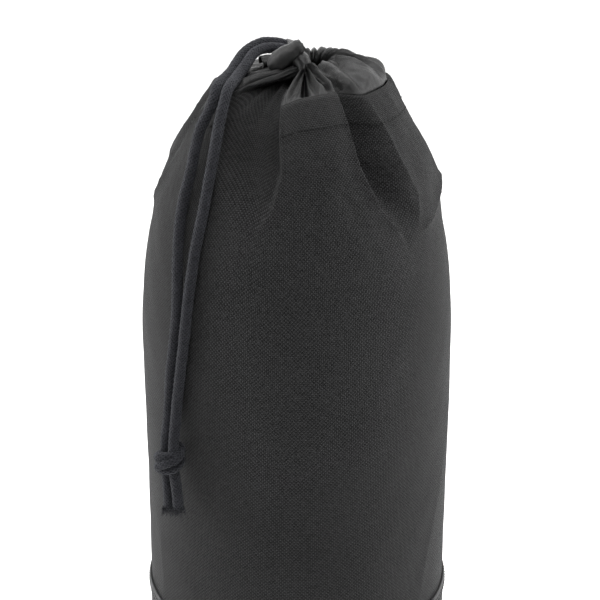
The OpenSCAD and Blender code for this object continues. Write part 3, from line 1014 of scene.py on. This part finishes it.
def make_mouth():
    """The sewn sleeve at the mouth of the tunnel, round both strands."""
    level = math.cos(MOUTH_RISE)
    heading = np.array([level * math.cos(MOUTH_HEADING), level * math.sin(MOUTH_HEADING),
                        math.sin(MOUTH_RISE)])
    pair = np.cross([0, 0, 1.0], heading)
    pair /= np.linalg.norm(pair)
    lift = np.cross(heading, pair)
    c, s = math.cos(MOUTH_ROLL), math.sin(MOUTH_ROLL)
    pair, lift = pair * c + lift * s, lift * c - pair * s
    a = circle(64)[None, :]
    along = np.linspace(-13.2, -2.2, 26)[:, None]
    wide = 3.9 * np.sign(np.cos(a)) * np.minimum(1, np.abs(np.cos(a)) * 2.2)
    fat = 4.3 + 0.2 * smooth_noise(along, a * 5, 8.0, 71)
    points = (MOUTH_AT + along[..., None] * heading + (wide + fat * np.cos(a))[..., None] * pair
              + (fat * np.sin(a))[..., None] * lift)
    piece = thicken(grid_piece("mouth_sleeve", points, SLICK), SLICK_T)
    settle(piece, "channel_mouth")


# ---- drawcord


def make_cords():
    pieces = []
    for name, arch, drop, tail, seed in (("cord_strand_back", BACK_ARCH, BACK_DROP, BACK_TAIL, 81),
                                         ("cord_strand_front", FRONT_ARCH, FRONT_DROP, FRONT_TAIL, 82)):
        knot_in, knot_out = np.array(drop[-1]), np.array(tail[0])
        through = [list(knot_in + (knot_out - knot_in) * t + (KNOT_AT - (knot_in + knot_out) / 2) * 0.25 *
                        math.sin(math.pi * t)) for t in (0.33, 0.66)]
        path = smooth_path(arch + drop + through + tail, 1.1)
        run = np.linspace(0, 1, len(path))
        radius = CORD_R - 0.25 + 0.1 * smooth_noise(run * 300, run * 0, 40.0, seed)
        piece = cord_tube(name, path, radius, seed)
        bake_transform(piece)
        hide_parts("arch_strands", "hanging_strands", "cord_tails")
        pieces.append((piece, path))
    knot = make_knot()
    frays = make_frays([path[-1] for _, path in pieces], [path[-1] - path[-4] for _, path in pieces])
    ring = crown_line(270 - np.linspace(140, 400, 120))
    settle(cord_tube("cord_in_channel", ring, CORD_R - 0.3, 83), "channel_cord")


WRAP_R = 6.5
FRAY_COUNT = 110
FRAY_REACH = (3.5, 7.0)


def make_knot():
    """The overhand knot: two turns of the pair round itself, and the strand tucked under them."""
    wraps = []
    for k, (low, slant) in enumerate(((4.1, 0.35), (-3.6, 0.28))):
        a = circle(60)
        x = WRAP_R * 1.06 * np.cos(a)
        y = WRAP_R * 0.92 * np.sin(a)
        z = low + slant * x + 0.9 * np.sin(2 * a + k)
        wraps.append(np.stack([x, y, z], 1))
    cross = np.array([(-6.8, -1.5, -5.0), (-6.2, -5.8, -2.0), (-1.5, -8.0, 0.8), (4.5, -7.0, 3.0),
                      (7.4, -2.0, 5.2)])
    meshes = []
    for k, line in enumerate(wraps):
        closed = np.vstack([line, line[:1]])
        meshes.append(cord_tube(f"knot_wrap_{k}", KNOT_AT + smooth_path(closed, 0.9), 3.4, 90 + k))
    meshes.append(cord_tube("knot_cross", KNOT_AT + smooth_path(cross, 0.9), 3.15, 95))
    bpy.ops.object.select_all(action="DESELECT")
    for piece in meshes:
        piece.select_set(True)
    bpy.context.view_layer.objects.active = meshes[0]
    bpy.ops.object.join()
    knot = bpy.context.view_layer.objects.active
    knot.name = "cord_knot"
    return settle(knot, "drawcord_knot", body="cord_drop")


def make_frays(ends, headings):
    """Loose fibres at the cut ends of the two tails."""
    verts, faces = [], []
    for end, heading in zip(ends, headings):
        heading = heading / np.linalg.norm(heading)
        side = np.cross(heading, [0.2, 1, 0.1])
        side /= np.linalg.norm(side)
        other = np.cross(heading, side)
        for _ in range(FRAY_COUNT):
            a, r = RANDOM.uniform(0, 2 * math.pi), CORD_R * math.sqrt(RANDOM.uniform(0, 1)) * 0.95
            out = math.cos(a) * side + math.sin(a) * other
            start = end + r * out - 2.0 * heading
            reach = RANDOM.uniform(*FRAY_REACH)
            spread = RANDOM.normal(0, 0.16, 3) + 0.07 * r * out
            curl = RANDOM.normal(0, 0.5, 3)
            fat = RANDOM.uniform(0.13, 0.26)
            base = len(verts)
            for k, t in enumerate(np.linspace(0, 1, 5)):
                at = start + heading * reach * t + spread * reach * t + curl * t * t
                for m in range(3):
                    b = 2 * math.pi * m / 3
                    verts.append(at + fat * (1 - 0.55 * t) * (math.cos(b) * side + math.sin(b) * other))
            faces += tube_faces(base, 5, 3)
            faces.append([base + 2, base + 1, base])
            faces.append([base + 12, base + 13, base + 14])
    mesh = new_mesh("cord_frays", verts, faces)
    layer = mesh.uv_layers.new(name="cloth")
    for loop in mesh.loops:
        at = mesh.vertices[loop.vertex_index].co
        layer.data[loop.index].uv = (at.x / MM, at.z / MM)
    return settle(link("cord_frays", mesh, BRAID), body="cord_drop")


# ---- floor and lights


def make_floor():
    n = Nodes("studio_floor")
    cloud = n.noise(n.place(), 2.0)
    material = n.finish(n.mix(cloud, (0.93, 0.93, 0.93, 1), (0.95, 0.95, 0.95, 1)), 0.9, specular=0.1)
    mesh = bpy.data.meshes.new("floor")
    reach = 14.0
    mesh.from_pydata([(-reach, -reach, 0), (reach, -reach, 0), (reach, reach, 0), (-reach, reach, 0)], [],
                     [(0, 1, 2, 3)])
    mesh.materials.append(material)
    floor = bpy.data.objects.new("floor", mesh)
    scene.collection.objects.link(floor)


def add_light(name, at, to, size, size_y, power):
    lamp = bpy.data.lights.new(name, "AREA")
    lamp.shape = "RECTANGLE"
    lamp.size, lamp.size_y = size, size_y
    lamp.energy = power
    light = bpy.data.objects.new(name, lamp)
    light.location = at
    light.rotation_euler = (Vector(to) - Vector(at)).to_track_quat("-Z", "Y").to_euler()
    scene.collection.objects.link(light)


def make_lights():
    add_light("left", (-1.5, 0.25, 0.75), (0, 0, 0.3), 1.2, 1.5, 16)
    add_light("right", (1.5, 0.30, 0.75), (0, 0, 0.3), 1.2, 1.5, 16)
    add_light("above", (0, -0.25, 1.9), (0, 0, 0.3), 1.1, 1.1, 26)
    add_light("front", (-0.3, -2.0, 2.2), (0, 0, 0.4), 0.8, 0.8, 6)
    # plain white surroundings, brighter behind the bag than in front of it
    world = bpy.data.worlds.new("studio")
    n = Nodes("studio", world)
    split = n.add("ShaderNodeSeparateXYZ")
    n.put(split.inputs[0], n.add("ShaderNodeTexCoord").outputs["Generated"])
    background = n.add("ShaderNodeBackground")
    n.put(background.inputs[0], (1, 1, 1, 1))
    n.put(background.inputs[1], n.ramp(split.outputs[1], -0.75, 0.35, 0.28, 1.75))
    n.put(n.add("ShaderNodeOutputWorld").inputs[0], background.outputs[0])
    scene.world = world


make_cords()
make_body()
make_hem_stitches()
make_boot()
make_piping()
make_base()
make_back()
make_tie_in()
make_collar()
make_crown()
make_flap()
make_mouth()
make_floor()
make_lights()

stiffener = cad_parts["base_stiffener"]
stiffener.data.materials.clear()
stiffener.data.materials.append(BOARD)
